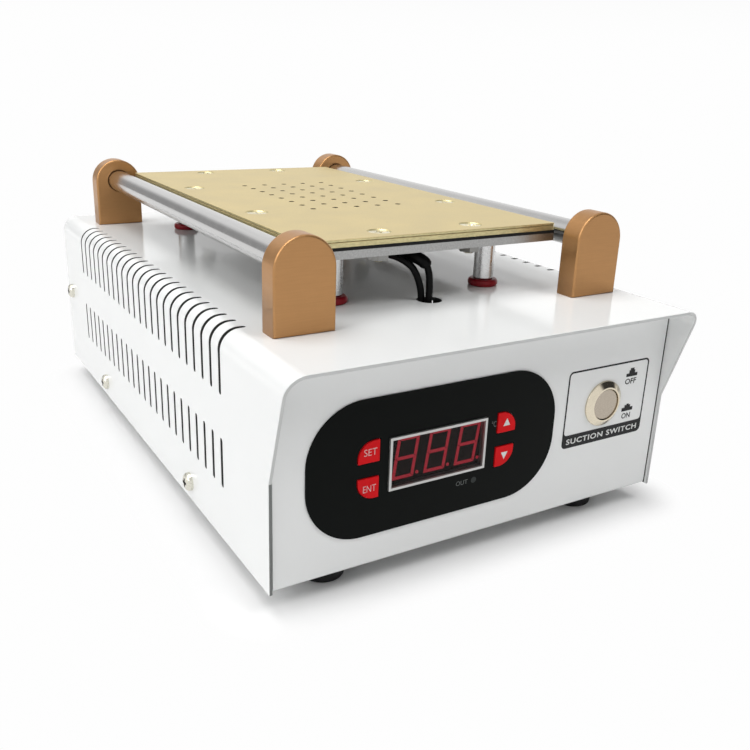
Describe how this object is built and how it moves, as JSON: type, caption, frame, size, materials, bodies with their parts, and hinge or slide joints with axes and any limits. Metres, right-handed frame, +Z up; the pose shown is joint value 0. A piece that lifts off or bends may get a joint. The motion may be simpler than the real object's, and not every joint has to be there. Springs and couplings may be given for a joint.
{
  "type": "lcd screen separator",
  "caption": "Bench machine with a heated suction plate on legs between two guide rails, over a slotted steel casing with a temperature keypad and a suction button.",
  "frame": {"origin": "on the ground under the middle of the whole object's box", "axes": "+X to the right seen from the front, +Y from the front panel towards the rear, +Z up"},
  "size_m": [0.1748, 0.2786, 0.117],
  "materials": {
    "white_casing": "glossy white powder coat",
    "steel_screw": "bright zinc plate",
    "black_rubber": "matt",
    "black_overlay": "fine-textured polyester film",
    "silver_trim": "satin",
    "smoked_window": "smoked red-grey acrylic",
    "display_black": "matt",
    "display_red": "red epoxy",
    "key_red": "satin",
    "board_green": "solder mask",
    "dark_plastic": "satin black plastic",
    "relay_blue": "glossy",
    "transformer_tape": "yellow tape over the winding",
    "ivory_plastic": "satin",
    "brushed_bezel": "nickel plate",
    "cap_bronze": "satin bronze lacquer",
    "copper_anodised": "satin copper anodised",
    "bare_rod": "ground bar",
    "gold_plate": "satin gold anodised",
    "heater_black": "matt silicone mat",
    "raw_aluminium": "mill finish",
    "gold_screw": "yellow zinc plate",
    "steel_grey": "zinc plate",
    "red_washer": "red fibre washer",
    "brass_fitting": "turned",
    "clear_silicone": "translucent silicone",
    "black_lead": "satin",
    "tan_rubber": "matt",
    "black_gloss": "satin black moulding"
  },
  "bodies": {
    "casing": {"base_tray": "white_casing", "top_cover": "white_casing", "cover_screws": "steel_screw", "rubber_feet": "black_rubber", "foot_screws": "steel_screw", "keypad_overlay": "black_overlay", "display_frame": "silver_trim", "display_window": "smoked_window", "display_module": "display_black", "display_segments": "display_red", "key_switches": "dark_plastic", "control_board": "board_green", "board_spacers": "brass_fitting", "board_screws": "steel_screw", "board_relay": "relay_blue", "board_transformer": "transformer_tape", "sensor_socket": "ivory_plastic", "button_bezel": "brushed_bezel", "button_nut": "brushed_bezel", "button_body": "dark_plastic", "post_front_left": "copper_anodised", "post_front_right": "copper_anodised", "post_back_left": "copper_anodised", "post_back_right": "copper_anodised", "post_screws": "steel_screw", "rail_left": "bare_rod", "rail_right": "bare_rod", "hot_plate": "gold_plate", "heater_pad": "heater_black", "clamp_plate": "raw_aluminium", "plate_screws": "gold_screw", "plate_nuts": "steel_grey", "deck_legs": "raw_aluminium", "leg_washers": "red_washer", "leg_screws": "steel_screw", "suction_fitting": "brass_fitting", "suction_hose": "clear_silicone", "heater_lead": "black_lead", "sensor_lead": "black_lead", "terminal_block": "ivory_plastic", "pump_case": "dark_plastic", "pump_cap": "dark_plastic", "pump_diaphragm": "tan_rubber", "pump_motor_can": "steel_grey", "pump_bracket": "steel_grey", "power_supply_case": "raw_aluminium", "power_supply_terminals": "dark_plastic", "mains_inlet": "black_gloss", "inlet_screws": "steel_screw", "rocker_frame": "black_gloss", "fixing_screws": "steel_screw"},
    "key_set": {"key_set": "key_red"},
    "key_enter": {"key_enter": "key_red"},
    "key_up": {"key_up": "key_red"},
    "key_down": {"key_down": "key_red"},
    "suction_button": {"button_cap": "cap_bronze"},
    "power_rocker": {"rocker_switch": "black_gloss"},
    "pump_rotor": {"pump_rotor": "steel_grey"},
    "fuse_drawer": {"fuse_drawer": "black_gloss"}
  },
  "joints": [
    {"name": "key_set_press", "type": "slide", "parent": "casing", "child": "key_set", "axis": [0, 1, 0], "range_m": [0, 0.0004], "stiffness_N_per_m": 1500},
    {"name": "key_enter_press", "type": "slide", "parent": "casing", "child": "key_enter", "axis": [0, 1, 0], "range_m": [0, 0.0004], "stiffness_N_per_m": 1500},
    {"name": "key_up_press", "type": "slide", "parent": "casing", "child": "key_up", "axis": [0, 1, 0], "range_m": [0, 0.0004], "stiffness_N_per_m": 1500},
    {"name": "key_down_press", "type": "slide", "parent": "casing", "child": "key_down", "axis": [0, 1, 0], "range_m": [0, 0.0004], "stiffness_N_per_m": 1500},
    {"name": "suction_button_press", "type": "slide", "parent": "casing", "child": "suction_button", "axis": [0, 1, 0], "range_m": [0, 0.0022], "stiffness_N_per_m": 900},
    {"name": "power_rocker_tilt", "type": "hinge", "parent": "casing", "child": "power_rocker", "pos_m": [0.004, 0.13275, 0.04], "axis": [1, 0, 0], "range_deg": [0, 20]},
    {"name": "pump_spin", "type": "hinge", "parent": "casing", "child": "pump_rotor", "pos_m": [-0.04, 0.09285, 0.034], "axis": [0, 1, 0], "continuous": true},
    {"name": "fuse_drawer_slide", "type": "slide", "parent": "casing", "child": "fuse_drawer", "axis": [0, 1, 0], "range_m": [0, 0.018]}
  ]
}
